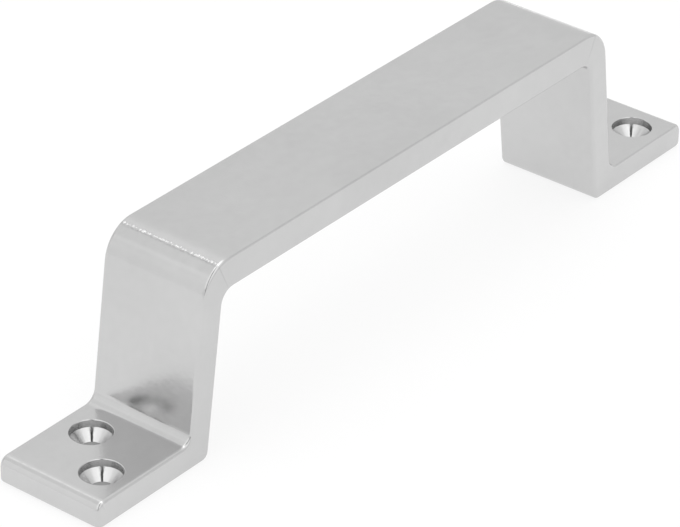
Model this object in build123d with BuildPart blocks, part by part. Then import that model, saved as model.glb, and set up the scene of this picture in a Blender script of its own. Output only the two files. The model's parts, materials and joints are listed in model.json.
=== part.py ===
"""Bridge pull handle: one thick metal strip that rises from two flat feet on inward-leaning legs.

Frame: millimetres, X along the handle, Y across the strip, +Z up away from the surface that the
handle is screwed to. The origin is on that surface, midway between the two ends.
"""

from build123d import *
from math import cos, radians, tan
import os

# ---------------------------------------------------------------- driving dimensions (mm, degrees)

# Strip and overall form
overall_length = 190.0  # over the two foot ends
overall_height = 42.0  # sole of the feet to the top of the bar
strip_width = 25.0  # across the handle, the same at the bar, the legs and the feet
bar_thickness = 7.0
leg_thickness = 5.9  # measured square to the leg
foot_thickness = 5.8
foot_length = 26.4  # foot end to the heel line, where leg and foot faces would meet
leg_lean = 7.6  # each leg leans this far inward from upright, in degrees

# Corners of the side profile
outer_bend_radius = 7.8  # leg into the bar, on the outside
inner_bend_radius = 3.2  # leg into the bar, on the finger side
heel_fillet_radius = 2.6  # leg into the top of the foot
sole_corner_radius = 1.9  # under the leg, where the sole begins
foot_end_top_radius = 2.2
foot_end_bottom_radius = 1.3

# Long edges along both sides of the strip
side_edge_radius = 0.8

# Screw holes, two in each foot, set on the foot's diagonal
screw_hole_diameter = 4.5  # clearance for a 4 mm countersunk screw
countersink_diameter = 8.6
countersink_angle = 90.0
recess_depth = 1.65  # straight wall above the cone, so that the head sits below the surface
mouth_rounding = 0.15  # fine rounding of the recess mouth
exit_break = 0.15  # fine edge break where each hole leaves the sole
outer_hole_from_end = 8.8  # foot end to the centre of the outer hole
outer_hole_from_edge = 6.9  # front edge of the strip to the centre of the outer hole
inner_hole_from_heel = 8.85  # heel line to the centre of the inner hole
inner_hole_from_edge = 7.7  # back edge of the strip to the centre of the inner hole

# ---------------------------------------------------------------------------------- derived places

half_length = overall_length / 2
half_width = strip_width / 2
heel_x = half_length - foot_length
bar_underside = overall_height - bar_thickness
lean_run = tan(radians(leg_lean))  # how far a leg moves inward for each millimetre that it rises
leg_width_level = leg_thickness / cos(radians(leg_lean))  # leg thickness along a level line


def leg_outer_x(height: float) -> float:
    """X of the right leg's outer face at a height above the sole."""
    return heel_x - (height - foot_thickness) * lean_run


def leg_inner_x(height: float) -> float:
    """X of the right leg's inner face at a height above the sole."""
    return leg_outer_x(height) - leg_width_level


# Sharp corners of the right half of the side profile, from the bar's top round to its underside,
# and the radius that rounds each corner between the two ends of that list.
profile_corners = [
    (0, overall_height),
    (leg_outer_x(overall_height), overall_height),
    (heel_x, foot_thickness),
    (half_length, foot_thickness),
    (half_length, 0),
    (leg_inner_x(0), 0),
    (leg_inner_x(bar_underside), bar_underside),
    (0, bar_underside),
]
corner_radii = [
    outer_bend_radius,
    heel_fillet_radius,
    foot_end_top_radius,
    foot_end_bottom_radius,
    sole_corner_radius,
    inner_bend_radius,
]

# Screw hole centres on the right foot; the left foot mirrors them.
outer_hole = (half_length - outer_hole_from_end, outer_hole_from_edge - half_width)
inner_hole = (heel_x + inner_hole_from_heel, half_width - inner_hole_from_edge)
cone_top = foot_thickness - recess_depth  # level where the recess wall meets the cone

# ------------------------------------------------------------------------------------- the handle

with BuildPart() as pull_handle:
    # Side profile of the bent strip, drawn as its right half and mirrored
    with BuildSketch(Plane.XZ):
        with BuildLine():
            FilletPolyline(*profile_corners, radius=corner_radii)
            mirror(about=Plane.YZ)
        make_face()
    extrude(amount=half_width, both=True)

    # Rounded long edges, round the whole outline of both flat sides
    flat_sides = pull_handle.faces().filter_by(Axis.Y)
    fillet(flat_sides.edges(), radius=side_edge_radius)

    # Recessed countersunk screw holes, mirrored from foot to foot
    with Locations(
        *[(end * x, y, cone_top) for end in (-1, 1) for x, y in (outer_hole, inner_hole)]
    ):
        CounterSinkHole(
            radius=screw_hole_diameter / 2,
            counter_sink_radius=countersink_diameter / 2,
            depth=foot_thickness,
            counter_sink_angle=countersink_angle,
        )

    # Fine rounding round the mouth of each recess, and fine edge break at the exit of each hole
    foot_tops = pull_handle.faces().filter_by(Axis.Z).filter_by_position(
        Axis.Z, foot_thickness - mouth_rounding, foot_thickness + mouth_rounding
    )
    fillet(foot_tops.edges().filter_by(GeomType.CIRCLE), radius=mouth_rounding)
    soles = pull_handle.faces().filter_by(Axis.Z).sort_by(Axis.Z)[:2]
    chamfer(soles.edges().filter_by(GeomType.CIRCLE), length=exit_break)

pull_handle.part.label = "pull_handle"
pull_handle.part.color = Color(0.78, 0.78, 0.79)

os.makedirs("parts", exist_ok=True)
export_step(pull_handle.part, "parts/pull_handle.step")
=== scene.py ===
"""Bridge pull handle: finish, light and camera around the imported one-piece handle.

The handle comes from the frame. This script gives its bare metal a tumbled, softly shining
finish with turned countersinks, lays the fine burr line over both outer bends, and sets the handle
on a pale floor inside a soft white light tent. Frame: metres, X along the handle, Y across it, Z up.
"""

import json
import logging
import math
from dataclasses import dataclass, field
from enum import Enum
from typing import Any

import bmesh
import bpy
from mathutils import Matrix, Vector, noise


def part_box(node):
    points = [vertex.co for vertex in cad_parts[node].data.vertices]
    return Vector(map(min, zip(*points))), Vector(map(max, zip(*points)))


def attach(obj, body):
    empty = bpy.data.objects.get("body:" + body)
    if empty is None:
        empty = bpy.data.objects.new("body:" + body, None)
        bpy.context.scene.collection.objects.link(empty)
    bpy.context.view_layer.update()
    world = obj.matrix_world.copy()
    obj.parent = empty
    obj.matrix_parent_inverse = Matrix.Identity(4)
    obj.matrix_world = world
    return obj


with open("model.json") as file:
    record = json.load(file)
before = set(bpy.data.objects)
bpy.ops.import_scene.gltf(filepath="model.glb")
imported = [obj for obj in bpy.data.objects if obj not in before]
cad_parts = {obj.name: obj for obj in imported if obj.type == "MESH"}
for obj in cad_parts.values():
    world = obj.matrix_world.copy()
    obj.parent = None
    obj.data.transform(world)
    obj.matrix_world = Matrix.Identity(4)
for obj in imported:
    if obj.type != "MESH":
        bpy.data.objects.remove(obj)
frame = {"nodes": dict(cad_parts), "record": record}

logging.basicConfig(level=logging.INFO, format="%(message)s")
LOG = logging.getLogger("pull_handle")

MM = 0.001  # metres in a millimetre
STRIP_WIDTH = 25.0  # mm
SOFT_EDGE = 0.1  # mm over which one finish gives way to another
WHITE = (1.0, 1.0, 1.0, 1.0)


# ------------------------------------------------------------------------------ shader expressions


class Value:
    """A number that changes over a surface: a node socket that Python expressions can use."""

    def __init__(self, graph: "Graph", socket: bpy.types.NodeSocket) -> None:
        """Wraps a number socket.

        Args:
            graph: The graph that the socket's node is in.
            socket: An output socket that carries one number.
        """
        self.graph = graph
        self.socket = socket

    def __add__(self, other: "Value | float") -> "Value":
        """Sum."""
        return self.graph.math("ADD", self, other)

    __radd__ = __add__

    def __sub__(self, other: "Value | float") -> "Value":
        """Difference."""
        return self.graph.math("SUBTRACT", self, other)

    def __rsub__(self, other: float) -> "Value":
        """Difference from a plain number."""
        return self.graph.math("SUBTRACT", other, self)

    def __mul__(self, other: "Value | float") -> "Value":
        """Product."""
        return self.graph.math("MULTIPLY", self, other)

    __rmul__ = __mul__

    def __truediv__(self, other: "Value | float") -> "Value":
        """Quotient."""
        return self.graph.math("DIVIDE", self, other)

    def __rtruediv__(self, other: float) -> "Value":
        """Quotient of a plain number by this one."""
        return self.graph.math("DIVIDE", other, self)

    def __abs__(self) -> "Value":
        """Size without sign."""
        return self.graph.math("ABSOLUTE", self)

    def sin(self) -> "Value":
        """Sine of this angle in radians."""
        return self.graph.math("SINE", self)

    def root(self) -> "Value":
        """Square root."""
        return self.graph.math("SQRT", self)

    def min(self, other: "Value | float") -> "Value":
        """The lower of two numbers."""
        return self.graph.math("MINIMUM", self, other)

    def max(self, other: "Value | float") -> "Value":
        """The higher of two numbers."""
        return self.graph.math("MAXIMUM", self, other)

    def ramp(self, start: "Value | float", end: "Value | float") -> "Value":
        """A smooth step from 0 to 1.

        Args:
            start: Where the result leaves 0. It may be above end, which turns the step round.
            end: Where the result reaches 1.

        Returns:
            The step, held at 0 and 1 outside the two ends.
        """
        node = self.graph.node(
            "ShaderNodeMapRange",
            {"interpolation_type": "SMOOTHSTEP"},
            {"Value": self, "From Min": start, "From Max": end},
        )
        return Value(self.graph, node.outputs["Result"])

    def band(self, start: float, full: float, fading: float, end: float) -> "Value":
        """A smooth step up to 1 and down again.

        Args:
            start: Where the result leaves 0.
            full: Where it reaches 1.
            fading: Where it leaves 1.
            end: Where it is back at 0.

        Returns:
            The band.
        """
        return self.ramp(start, full) * self.ramp(end, fading)


class Graph:
    """Builds the nodes of one material or world."""

    def __init__(self, tree: bpy.types.NodeTree) -> None:
        """Starts from an empty node tree.

        Args:
            tree: The node tree, whose old nodes are removed.
        """
        self.tree = tree
        tree.nodes.clear()

    def node(
        self,
        kind: str,
        settings: dict[str, Any] | None = None,
        inputs: dict[str | int, Any] | None = None,
    ) -> bpy.types.Node:
        """Adds a node of any type.

        Args:
            kind: The node's type name.
            settings: Node settings, set before its sockets.
            inputs: For each input socket, by name or number, a Value, an output socket to link,
                or a plain value to set.

        Returns:
            The new node.
        """
        made = self.tree.nodes.new(kind)
        for name, setting in (settings or {}).items():
            setattr(made, name, setting)
        for name, value in (inputs or {}).items():
            socket = made.inputs[name]
            if isinstance(value, Value):
                self.tree.links.new(value.socket, socket)
            elif isinstance(value, bpy.types.NodeSocket):
                self.tree.links.new(value, socket)
            else:
                socket.default_value = value
        return made

    def math(self, operation: str, *terms: "Value | float") -> Value:
        """Adds a Math node.

        Args:
            operation: The Math node's operation.
            *terms: Its inputs in order.

        Returns:
            The node's result.
        """
        node = self.node("ShaderNodeMath", {"operation": operation}, dict(enumerate(terms)))
        return Value(self, node.outputs[0])

    def vector_math(self, operation: str, output: str, *terms: Any) -> Any:
        """Adds a Vector Math node.

        Args:
            operation: The Vector Math node's operation.
            output: "Vector" or "Value", the output that the operation fills.
            *terms: Its vector inputs in order.

        Returns:
            A Value for the output "Value", and the vector's socket otherwise.
        """
        node = self.node("ShaderNodeVectorMath", {"operation": operation}, dict(enumerate(terms)))
        socket = node.outputs[output]
        return Value(self, socket) if output == "Value" else socket

    def position_mm(self) -> bpy.types.NodeSocket:
        """Place on the object in millimetres, as a vector."""
        place = self.node("ShaderNodeTexCoord").outputs["Object"]
        per_metre = Vector((1.0, 1.0, 1.0)) / MM
        return self.vector_math("MULTIPLY", "Vector", place, per_metre)

    def split(self, vector: bpy.types.NodeSocket) -> tuple[Value, Value, Value]:
        """The three numbers of a vector."""
        outputs = self.node("ShaderNodeSeparateXYZ", None, {"Vector": vector}).outputs
        return Value(self, outputs[0]), Value(self, outputs[1]), Value(self, outputs[2])

    def cloud(
        self, place: bpy.types.NodeSocket, size: float, detail: float = 2.0, rough: float = 0.5
    ) -> Value:
        """Soft random variation over a surface.

        Args:
            place: The place in millimetres.
            size: Rough size of one cloud in millimetres.
            detail: How many finer layers are added.
            rough: How strong the finer layers are.

        Returns:
            A number near 0.5 that runs from about 0.2 to 0.8.
        """
        node = self.node(
            "ShaderNodeTexNoise",
            None,
            {"Vector": place, "Scale": 1.0 / size, "Detail": detail, "Roughness": rough},
        )
        return Value(self, node.outputs[0])

    def grey(self, level: Value) -> bpy.types.NodeSocket:
        """A neutral colour of the given level."""
        return self.node(
            "ShaderNodeCombineColor", None, {"Red": level, "Green": level, "Blue": level}
        ).outputs[0]

    def bump(
        self,
        height: Value,
        depth_mm: float,
        after: bpy.types.NodeSocket | None = None,
    ) -> bpy.types.NodeSocket:
        """Adds fine relief.

        Args:
            height: The relief, where a step of 1 is depth_mm high.
            depth_mm: Height of a step of 1, in millimetres.
            after: A normal that already carries other relief.

        Returns:
            The bent normal.
        """
        inputs: dict[str | int, Any] = {"Height": height, "Distance": depth_mm * MM, "Strength": 1.0}
        if after is not None:
            inputs["Normal"] = after
        return self.node("ShaderNodeBump", None, inputs).outputs[0]

    def degrees(self, across: Value, along: Value) -> Value:
        """Angle of a point round an axis.

        Args:
            across: How far the point lies sideways from the axis.
            along: How far it lies in the direction that the angle is counted from.

        Returns:
            The angle in degrees.
        """
        return self.math("ARCTAN2", across, along) * (180.0 / math.pi)

    def metal(self, level: Value, rough: Value, relief: bpy.types.NodeSocket) -> None:
        """Ends a material as bare metal.

        Args:
            level: Its grey level.
            rough: Its roughness.
            relief: Its normal.
        """
        inputs = {
            "Base Color": self.grey(level),
            "Metallic": 1.0,
            "Roughness": rough,
            "Normal": relief,
        }
        made = self.node("ShaderNodeBsdfPrincipled", None, inputs)
        self.node("ShaderNodeOutputMaterial", None, {"Surface": made.outputs[0]})


# ---------------------------------------------------------------------------------------- finishes


def new_graph(name: str) -> tuple[bpy.types.Material, Graph]:
    """Starts a material.

    Args:
        name: Name of the material.

    Returns:
        The material and its empty graph.
    """
    material = bpy.data.materials.new(name)
    material.use_nodes = True
    return material, Graph(material.node_tree)


@dataclass(frozen=True)
class Screw:
    """One countersunk screw hole, as a place that the finish is turned round.

    Attributes:
        x: Distance from the middle of the handle, in mm.
        y: Place across the strip, in mm.
    """

    x: float
    y: float


@dataclass(frozen=True)
class FootEndHighlight:
    """Painted highlight over the rounded top edge of each foot end, broken into dots, with a dull
    line under it.

    Turns are counted in degrees round the edge's axis, from straight up towards the end.

    Attributes:
        reach: Distance of the edge's axis from the middle of the handle, in mm.
        height: Height of that axis, in mm.
        bright: Turns where the bright painted highlight starts, is full, starts to fade and ends.
        dull: The same for the dull line under it.
        dull_share: Strength of the dull line beside the bright one.
        dot_size: Size of the dots, in mm.
    """

    reach: float = 92.8
    height: float = 3.6
    bright: tuple[float, float, float, float] = (11.0, 15.0, 18.0, 22.0)
    dull: tuple[float, float, float, float] = (23.0, 29.0, 36.0, 44.0)
    dull_share: float = 0.6
    dot_size: float = 1.1

    def draw(self, graph: Graph, place: bpy.types.NodeSocket, reach: Value, z: Value) -> Value:
        """Draws the painted highlight and the dull line under it in a material.

        Args:
            graph: The material's graph.
            place: Place in mm.
            reach: Distance from the middle of the handle, in mm.
            z: Height, in mm.

        Returns:
            Up to 1 on the bright line, down to minus dull_share on the dull one, 0 elsewhere.
        """
        turn = graph.degrees(reach - self.reach, z - self.height)
        dots = graph.cloud(place, self.dot_size, 2.0, 0.6).ramp(0.40, 0.56)
        bright = turn.band(*self.bright) * (dots * 0.8 + 0.2)
        dull = turn.band(*self.dull) * (dots * 0.5 + 0.5)
        on_edge = reach.ramp(self.reach, self.reach + SOFT_EDGE)
        on_edge = on_edge * z.ramp(self.height, self.height + 2 * SOFT_EDGE)
        return (bright - dull * self.dull_share) * on_edge


@dataclass(frozen=True)
class BurrDarkBand:
    """Broken darker band that lies under the burr line of each outer bend.

    Attributes:
        reach: Degrees past the burr where the band starts, is full, starts to fade and ends.
        least: Strength of the band in its gaps.
    """

    reach: tuple[float, float, float, float] = (1.2, 2.4, 3.6, 6.5)
    least: float = 0.3

    def draw(self, graph: Graph, bend: "OuterBend", reach: Value, y: Value, z: Value) -> Value:
        """Draws the band in a material.

        Args:
            graph: The material's graph.
            bend: The outer bend.
            reach: Distance from the middle of the handle, in mm.
            y: Place across the strip, in mm.
            z: Height, in mm.

        Returns:
            Up to 1 inside the band and 0 elsewhere.
        """
        x_mid, z_mid = (part / MM for part in bend.centre(Side.RIGHT))
        skew = bend.burr_skew / STRIP_WIDTH
        past = graph.degrees(reach - x_mid, z - z_mid) + y * skew - bend.burr_turn
        speck = graph.node(
            "ShaderNodeCombineXYZ", None, {"X": past * 0.5, "Y": y * 1.6, "Z": reach * 0.01}
        ).outputs[0]
        broken = graph.cloud(speck, 1.0, 2.0, 0.6).ramp(0.42, 0.58)
        broken = broken * (1.0 - self.least) + self.least
        return past.band(*self.reach) * broken * (z - z_mid).ramp(0.0, 1.0)


@dataclass(frozen=True)
class TumbledMetal:
    """Bare pale metal, tumbled to a soft shine, with machined countersinks.

    Attributes:
        reflectance: How much light the metal returns.
        machined_reflectance: The same in the freshly cut countersinks.
        roughness: Roughness of the tumbled skin.
        machined_roughness: Roughness between the rings of a countersink, near its bottom.
        lip_roughness: What the roughness gains towards the lip of a countersink.
        patchiness: Share by which the roughness drifts over the surface.
        sweep: Share by which the reflectance drifts along the whole handle.
        sweep_size: Size of that drift, in mm.
        blotch: Share by which it drifts over a few millimetres.
        drift_size: Size of the larger blotches, in mm.
        mottle_size: Size of the smaller ones and of the dents, in mm.
        stipple: Share by which it changes from grain to grain.
        grain_size: Size of the grain, in mm.
        mottle_depth: Depth of the dents that tumbling leaves, in mm.
        grain_depth: Depth of the grain, in mm.
        machined_radius: Distance from a hole's axis where the machined metal ends, in mm.
        lip: Distances from a hole's axis between which the lip's roughness rises, in mm.
        ring_pitch: Spacing of the turned rings, in mm.
        ring_depth: Depth of the turned rings, in mm.
        dark_band: The darker band under the burr.
        dark_band_depth: How dark that band is.
        end_highlight: The painted highlight over each foot end, with a dull line under it.
        end_highlight_depth: How bright that painted highlight is.
    """

    reflectance: float = 0.605
    machined_reflectance: float = 0.63
    roughness: float = 0.19
    machined_roughness: float = 0.10
    lip_roughness: float = 0.10
    patchiness: float = 0.10
    sweep: float = 0.10
    sweep_size: float = 38.0
    blotch: float = 0.07
    drift_size: float = 9.0
    mottle_size: float = 2.2
    stipple: float = 0.035
    grain_size: float = 0.45
    mottle_depth: float = 0.02
    grain_depth: float = 0.003
    machined_radius: float = 4.46
    lip: tuple[float, float] = (3.3, 4.2)
    ring_pitch: float = 0.22
    ring_depth: float = 0.004
    dark_band: BurrDarkBand = BurrDarkBand()
    dark_band_depth: float = 0.20
    end_highlight: FootEndHighlight = FootEndHighlight()
    end_highlight_depth: float = 0.12

    def make(self, name: str, screws: list[Screw], bend: "OuterBend") -> bpy.types.Material:
        """Makes the material.

        Args:
            name: Name of the material.
            screws: The screw holes on the positive side, mirrored to the other side.
            bend: The outer bend, whose burr line has a darker band under it.

        Returns:
            The material.
        """
        material, graph = new_graph(name)
        place = graph.position_mm()
        x, y, z = graph.split(place)
        reach = abs(x)
        from_axis = self._from_axis(screws, reach, y)
        machined = from_axis.ramp(self.machined_radius, self.machined_radius - SOFT_EDGE)

        sweep = graph.cloud(place, self.sweep_size, 0.0)
        drift = graph.cloud(place, self.drift_size)
        mottle = graph.cloud(place, self.mottle_size, 3.0, 0.6)
        grain = graph.cloud(place, self.grain_size, 2.0, 0.6)
        shade = (sweep - 0.5) * self.sweep + (drift - 0.5) * self.blotch + 1.0
        shade = shade + (mottle - 0.5) * self.blotch + (grain - 0.5) * self.stipple
        # A darker band under each burr line, multiplied into the colour.
        shade = shade * (1.0 - self.dark_band.draw(graph, bend, reach, y, z) * self.dark_band_depth)
        # Painted highlight on the top edge of each foot end, with a dull darker line under it,
        # multiplied into the colour.
        end_highlight = self.end_highlight.draw(graph, place, reach, z)
        shade = shade * (1.0 + end_highlight * self.end_highlight_depth)
        level = machined * (self.machined_reflectance - self.reflectance) + self.reflectance
        rough = (
            (mottle - 0.5) * self.patchiness
            + machined * (self.machined_roughness - self.roughness)
            + machined * from_axis.ramp(*self.lip) * self.lip_roughness
            + self.roughness
        )

        rings = ((from_axis + z) * (2.0 * math.pi / self.ring_pitch)).sin() * machined
        relief = graph.bump(mottle - 0.5, self.mottle_depth)
        relief = graph.bump(grain - 0.5, self.grain_depth, relief)
        relief = graph.bump(rings, self.ring_depth, relief)
        graph.metal(level * shade, rough, relief)
        return material

    @staticmethod
    def _from_axis(screws: list[Screw], reach: Value, y: Value) -> Value:
        """Distance from the nearest hole's axis, in mm.

        Args:
            screws: The screw holes on the positive side.
            reach: Distance from the middle of the handle, in mm.
            y: Place across the strip, in mm.

        Returns:
            The distance.
        """
        nearest = None
        for screw in screws:
            dx, dy = reach - screw.x, y - screw.y
            distance = (dx * dx + dy * dy).root()
            nearest = distance if nearest is None else nearest.min(distance)
        return nearest


@dataclass(frozen=True)
class BurrMetal:
    """Bright broken metal of the fine burr line.

    Attributes:
        reflectance: How much light the crumbs return.
        roughness: Roughness of the crumbs.
        spread: How far both drift from crumb to crumb.
        crumb_size: Size of the crumbs, in mm.
        crumb_depth: Depth of the gaps between them, in mm.
    """

    reflectance: float = 0.80
    roughness: float = 0.35
    spread: float = 0.3
    crumb_size: float = 0.35
    crumb_depth: float = 0.03

    def make(self, name: str) -> bpy.types.Material:
        """Makes the material.

        Args:
            name: Name of the material.

        Returns:
            The material.
        """
        material, graph = new_graph(name)
        place = graph.position_mm()
        crumbs = graph.cloud(place, self.crumb_size, 2.0, 0.6)
        drift = (crumbs - 0.5) * self.spread
        relief = graph.bump(crumbs, self.crumb_depth)
        graph.metal(drift + self.reflectance, drift + self.roughness, relief)
        return material


@dataclass(frozen=True)
class FloorPaint:
    """Matt white floor that still shows a light shadow, with painted shade under the feet.

    Attributes:
        glow: Share of the white that no shadow reaches.
        paint: Colour of the paint in the rest.
        painted_shade: Share of the glow which is missing under the feet, a painted shade where
            little light gets in.
        painted_shade_from: Distance from the middle of the handle where that begins, in mm.
        painted_shade_to: Distance from the middle of the handle where it ends, in mm.
        painted_shade_half: Half of its width across the handle, in mm.
        painted_shade_edge: Width of its soft edges along and across the handle, in mm.
    """

    glow: float = 0.82
    paint: float = 0.19
    painted_shade: float = 0.55
    painted_shade_from: float = 71.0
    painted_shade_to: float = 91.5
    painted_shade_half: float = 11.2
    painted_shade_edge: tuple[float, float] = (1.0, 0.8)

    def make(self, name: str) -> bpy.types.Material:
        """Makes the material.

        Args:
            name: Name of the material.

        Returns:
            The material.
        """
        material, graph = new_graph(name)
        light_path = graph.node("ShaderNodeLightPath").outputs
        seen = Value(graph, light_path["Is Camera Ray"])
        seen = seen.max(Value(graph, light_path["Is Glossy Ray"]))
        seen = seen.max(Value(graph, light_path["Is Transmission Ray"]))
        x, y, _ = graph.split(graph.position_mm())
        # Painted shade under the feet: the glow fades out over the floor beneath each foot, where it
        # would lie in shadow.
        inner, outer = self.painted_shade_from, self.painted_shade_to
        along, across = self.painted_shade_edge
        painted_shade_mask = abs(x).band(inner, inner + along, outer - along, outer)
        painted_shade_mask = painted_shade_mask * abs(y).ramp(self.painted_shade_half, self.painted_shade_half - across)
        seen = seen * (1.0 - painted_shade_mask * self.painted_shade)
        paint = graph.node("ShaderNodeBsdfDiffuse", None, {"Color": (self.paint,) * 3 + (1.0,)})
        glow = graph.node(
            "ShaderNodeEmission", None, {"Color": WHITE, "Strength": seen * self.glow}
        )
        both = graph.node("ShaderNodeAddShader", None, {0: paint.outputs[0], 1: glow.outputs[0]})
        under = Value(graph, graph.node("ShaderNodeNewGeometry").outputs["Backfacing"])
        clear = graph.node("ShaderNodeBsdfTransparent")
        floor = graph.node(
            "ShaderNodeMixShader", None, {0: under, 1: both.outputs[0], 2: clear.outputs[0]}
        )
        graph.node("ShaderNodeOutputMaterial", None, {"Surface": floor.outputs[0]})
        return material


# ----------------------------------------------------------------------------------------- handle


class Side(Enum):
    """The two ends of the handle."""

    LEFT = -1
    RIGHT = 1


@dataclass
class OuterBend:
    """The rounded corner between bar and leg, and the fine burr line that lies across it.

    Attributes:
        radius: Radius of the bend.
        inset: From the foot end to the centre of the bend, along the handle.
        burr_turn: How far round from the top of the bend the burr lies, in degrees.
        burr_skew: How much further round it lies at the near side than at the far side.
        burr_width: Width of the burr along the bend.
        burr_height: How far the burr stands up.
        burr_sink: How deep its middle lies under the skin.
        crumb: Length of its crumbs across the strip.
        crumb_size: Usual size of a crumb, as a share of the burr's width and height.
        unevenness: How much that share changes from crumb to crumb, and inside one.
        least: The share between two crumbs, where the burr is all but broken off.
        wander: How far the line wanders along the bend, in burr widths.
        margin: Distance of the burr's ends from the sides of the strip.
        cuts: Number of cuts along the burr.
        seed: Start of the random breaks.
    """

    radius: float = 7.8 * MM
    inset: float = 38.06 * MM
    burr_turn: float = 21.2
    burr_skew: float = 2.0
    burr_width: float = 0.85 * MM
    burr_height: float = 0.06 * MM
    burr_sink: float = 0.02 * MM
    crumb: float = 0.40 * MM
    crumb_size: float = 0.42
    unevenness: tuple[float, float] = (1.1, 0.6)
    least: float = 0.04
    wander: float = 0.35
    margin: float = 0.7 * MM
    cuts: int = 420
    seed: float = 3.7

    def centre(self, side: Side) -> tuple[float, float]:
        """Centre of the bend as X and Z.

        Args:
            side: The end of the handle.

        Returns:
            X and Z of the bend's axis.
        """
        low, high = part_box("pull_handle")
        reach = (high.x - low.x) / 2 - self.inset
        return side.value * reach, high.z - self.radius

    def build_burr(self, side: Side) -> bpy.types.Object:
        """Makes the burr line of one bend.

        Args:
            side: The end of the handle.

        Returns:
            The finished piece.
        """
        low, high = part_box("pull_handle")
        length = (high.y - low.y) - 2 * self.margin
        mesh = bmesh.new()
        ring = bmesh.ops.create_circle(mesh, segments=8, radius=1.0)["verts"]
        upright = Matrix.Rotation(math.radians(90), 3, "X")
        bmesh.ops.rotate(mesh, verts=ring, matrix=upright)
        bmesh.ops.translate(mesh, verts=ring, vec=(0.0, -length / 2, 0.0))
        bmesh.ops.spin(
            mesh,
            geom=mesh.verts[:] + mesh.edges[:],
            axis=(0.0, 1.0, 0.0),
            dvec=(0.0, length / self.cuts, 0.0),
            angle=0.0,
            steps=self.cuts,
        )
        open_rims = [edge for edge in mesh.edges if edge.is_boundary]
        bmesh.ops.holes_fill(mesh, edges=open_rims, sides=0)
        centre = self.centre(side)
        for vertex in mesh.verts:
            across = (vertex.co.y - low.y) / (high.y - low.y)
            vertex.co = self._lay(vertex.co, side, centre, across)
        bmesh.ops.recalc_face_normals(mesh, faces=mesh.faces)
        data = bpy.data.meshes.new(f"{side.name.lower()}_bend_burr")
        mesh.to_mesh(data)
        mesh.free()
        for polygon in data.polygons:
            polygon.use_smooth = True
        piece = bpy.data.objects.new(data.name, data)
        bpy.context.scene.collection.objects.link(piece)
        return piece

    def _lay(
        self, point: Vector, side: Side, centre: tuple[float, float], across: float
    ) -> Vector:
        """Lays one point of a straight unit rod onto the bend, with the burr's breaks.

        Args:
            point: The point on the rod, whose cross section is a unit circle.
            side: The end of the handle.
            centre: X and Z of the bend's axis.
            across: How far across the strip the point is, from 0 at the near side to 1.

        Returns:
            The point's place on the bend.
        """
        walk = Vector((point.y / self.crumb, self.seed, side.value * 5.0))
        coarse, fine = self.unevenness
        size = self.crumb_size + coarse * noise.noise(walk) + fine * noise.noise(walk * 2.3)
        size = max(self.least, min(1.0, size))
        wander = self.wander * noise.noise(walk * 0.8 + Vector((0.0, 9.0, 0.0)))
        turn = math.radians(self.burr_turn + self.burr_skew * (0.5 - across))
        turn += (wander + point.x * size * 0.5) * self.burr_width / self.radius
        out = self.radius - self.burr_sink + point.z * size * self.burr_height
        x, z = centre
        return Vector((x + side.value * out * math.sin(turn), point.y, z + out * math.cos(turn)))


@dataclass
class PullHandle:
    """The one-piece handle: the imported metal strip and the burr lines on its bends.

    Attributes:
        body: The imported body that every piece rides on.
        slot: The material slot that the metal takes its finish from.
        finish: The tumbled metal.
        burr_finish: The bright crumbs of the burr.
        bend: The outer bend.
    """

    body: str = "root"
    # slot: Name of a material slot; not used, the metal goes into every slot of the strip.
    slot: str = "bare_metal"
    finish: TumbledMetal = TumbledMetal()
    burr_finish: BurrMetal = BurrMetal()
    bend: OuterBend = field(default_factory=OuterBend)

    def screws(self) -> list[Screw]:
        """The screw holes of the positive side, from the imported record."""
        return [
            Screw(mount["pos_m"][0] / MM, mount["pos_m"][1] / MM)
            for mount in frame["record"]["mounts"]
            if mount["kind"] == "bore" and mount["pos_m"][0] > 0
        ]

    def dress(self) -> None:
        """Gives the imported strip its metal."""
        strip = frame["nodes"]["pull_handle"]
        metal = self.finish.make("tumbled_metal", self.screws(), self.bend)
        for slot in strip.material_slots:
            slot.material = metal
        LOG.info("pull_handle: dressed, %d screw holes a side", len(self.screws()))

    def build(self) -> None:
        """Builds and dresses the burr lines."""
        metal = self.burr_finish.make("burr_metal")
        for side in Side:
            burr = self.bend.build_burr(side)
            burr.data.materials.append(metal)
            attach(burr, self.body)
            LOG.info("%s: %d faces", burr.name, len(burr.data.polygons))


# ----------------------------------------------------------------------------------------- studio


@dataclass(frozen=True)
class Patch:
    """A brighter or darker part of the light tent.

    Attributes:
        azimuth: Direction of its middle, in degrees from +Y towards +X.
        elevation: The same above the floor.
        inner: Angle from the middle out to which it has its full level, in degrees.
        outer: Angle at which it has faded out, in degrees.
        level: What it adds to the tent's level.
    """

    azimuth: float
    elevation: float
    inner: float
    outer: float
    level: float


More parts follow.
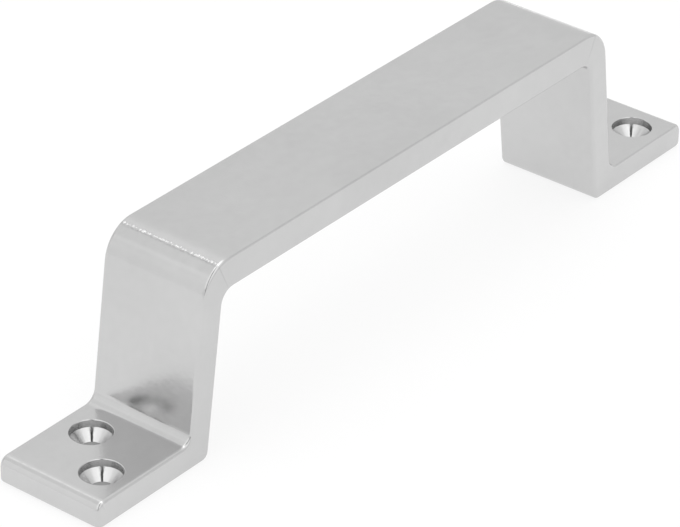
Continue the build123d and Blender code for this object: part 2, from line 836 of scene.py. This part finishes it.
@dataclass
class LightTent:
    """Soft white light tent all round, with a narrow dark slit to look in through.

    Attributes:
        wall: Level of the tent's cloth near the floor.
        roof: What the cloth gains towards the roof.
        patches: Lamps and darker folds of the cloth.
        slit_at: Azimuth of the slit.
        slit_half_width: Half of the slit's width, in degrees.
        slit_grey: Share of the light that still comes out of the slit.
        slit_blur: Share of its half width over which each side of the slit fades.
        roof_rise: Sines of the elevations between which the roof's gain sets in.
    """

    wall: float = 0.85
    roof: float = 0.08
    patches: tuple[Patch, ...] = (
        Patch(-128.2, 55.0, 38.0, 53.0, 0.34),  # lamp above the slit
        Patch(0.0, 90.0, 8.0, 28.0, 0.90),  # lamp in the roof
        Patch(24.0, 54.0, 5.0, 20.0, 0.10),  # its glow on the far wall
        Patch(0.0, 58.0, 2.0, 8.0, -0.07),  # folds of the cloth
        Patch(-44.0, 42.0, 2.0, 8.0, 0.14),
        Patch(-56.0, 12.0, 12.0, 32.0, 0.12),
        Patch(129.0, 33.0, 3.0, 8.0, -0.30),
        Patch(-26.0, 33.0, 3.0, 8.0, -0.35),
    )
    slit_at: float = -128.2
    slit_half_width: float = 6.5
    slit_grey: float = 0.04
    slit_blur: float = 0.15
    roof_rise: tuple[float, float] = (0.15, 0.80)

    @staticmethod
    def towards(azimuth: float, elevation: float) -> Vector:
        """Unit vector of a direction.

        Args:
            azimuth: Degrees from +Y towards +X.
            elevation: Degrees above the floor.

        Returns:
            The unit vector.
        """
        a, e = math.radians(azimuth), math.radians(elevation)
        return Vector((math.cos(e) * math.sin(a), math.cos(e) * math.cos(a), math.sin(e)))

    def build(self) -> None:
        """Makes the world that stands for the tent."""
        world = bpy.data.worlds.new("light_tent")
        bpy.context.scene.world = world
        world.use_nodes = True
        graph = Graph(world.node_tree)
        ray = graph.node("ShaderNodeTexCoord").outputs["Generated"]
        up = graph.split(ray)[2]
        level = up.ramp(*self.roof_rise) * self.roof + self.wall
        for patch in self.patches:
            middle = self.towards(patch.azimuth, patch.elevation)
            near = graph.vector_math("DOT_PRODUCT", "Value", ray, middle)
            fade, full = math.cos(math.radians(patch.outer)), math.cos(math.radians(patch.inner))
            level = level + near.ramp(fade, full) * patch.level

        half = math.sin(math.radians(self.slit_half_width))
        beside = self.towards(self.slit_at + 90.0, 0.0)
        ahead = graph.vector_math("DOT_PRODUCT", "Value", ray, self.towards(self.slit_at, 0.0))
        aside = abs(graph.vector_math("DOT_PRODUCT", "Value", ray, beside))
        blur = half * self.slit_blur
        slit = aside.ramp(half + blur, half - blur) * ahead.ramp(0.0, 0.1)
        slit = slit * up.ramp(-0.02, 0.08)
        level = level * (1.0 - slit * (1.0 - self.slit_grey))

        light_path = graph.node("ShaderNodeLightPath").outputs
        camera = Value(graph, light_path["Is Camera Ray"])
        camera = camera.max(Value(graph, light_path["Is Transmission Ray"]))
        strength = camera + (1.0 - camera) * level
        tent = graph.node("ShaderNodeBackground", None, {"Color": WHITE, "Strength": strength})
        graph.node("ShaderNodeOutputWorld", None, {"Surface": tent.outputs[0]})
        LOG.info("light_tent: %d patches", len(self.patches))


@dataclass
class Studio:
    """The floor, the tent and the camera.

    Attributes:
        floor_size: Side of the square floor.
        floor_gap: How far the floor lies below the soles.
        floor_finish: The floor's paint.
        tent: The light tent.
        lens: Focal length of the camera, in mm.
        sensor: Width of the camera's sensor, in mm.
        camera_place: Place of the camera.
        camera_azimuth: Direction that the camera looks in, in degrees from +Y towards +X.
        camera_fall: How far it looks down, in degrees.
        camera_roll: How far it is turned round its own axis, in degrees.
    """

    floor_size: float = 6.0
    floor_gap: float = 0.03 * MM
    floor_finish: FloorPaint = FloorPaint()
    tent: LightTent = field(default_factory=LightTent)
    lens: float = 206.545
    sensor: float = 36.0
    camera_place: tuple[float, float, float] = (-0.532611, -0.413152, 0.418642)
    camera_azimuth: float = 51.775
    camera_fall: float = 31.287
    camera_roll: float = 0.950

    def build(self) -> None:
        """Makes the floor, the light and the camera."""
        self._build_floor()
        self.tent.build()
        self._build_camera()
        settings = bpy.context.scene.view_settings
        settings.view_transform = "Standard"

    def _build_floor(self) -> None:
        """Makes the floor just under the soles."""
        low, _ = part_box("pull_handle")
        mesh = bmesh.new()
        bmesh.ops.create_grid(mesh, x_segments=1, y_segments=1, size=self.floor_size / 2)
        bmesh.ops.translate(mesh, verts=mesh.verts, vec=(0.0, 0.0, low.z - self.floor_gap))
        data = bpy.data.meshes.new("floor")
        mesh.to_mesh(data)
        mesh.free()
        floor = bpy.data.objects.new("floor", data)
        bpy.context.scene.collection.objects.link(floor)
        data.materials.append(self.floor_finish.make("floor_paint"))
        LOG.info("floor: %.1f m square", self.floor_size)

    def _build_camera(self) -> None:
        """Makes the camera and gives it to the scene."""
        data = bpy.data.cameras.new("camera")
        data.lens = self.lens
        data.sensor_width = self.sensor
        camera = bpy.data.objects.new("camera", data)
        bpy.context.scene.collection.objects.link(camera)
        ahead = LightTent.towards(self.camera_azimuth, -self.camera_fall)
        right = ahead.cross(Vector((0.0, 0.0, 1.0))).normalized()
        up = right.cross(ahead)
        roll = math.radians(self.camera_roll)
        right, up = (
            right * math.cos(roll) + up * math.sin(roll),
            up * math.cos(roll) - right * math.sin(roll),
        )
        turned = Matrix((right, up, -ahead)).transposed().to_4x4()
        camera.matrix_world = Matrix.Translation(self.camera_place) @ turned
        bpy.context.scene.camera = camera
        LOG.info("camera: %.0f mm lens", self.lens)


# ------------------------------------------------------------------------------------------- main


def main() -> None:
    """Builds the handle's dress and the studio."""
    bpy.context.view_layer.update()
    handle = PullHandle()
    handle.dress()
    handle.build()
    Studio().build()


if __name__ == "__main__":
    main()
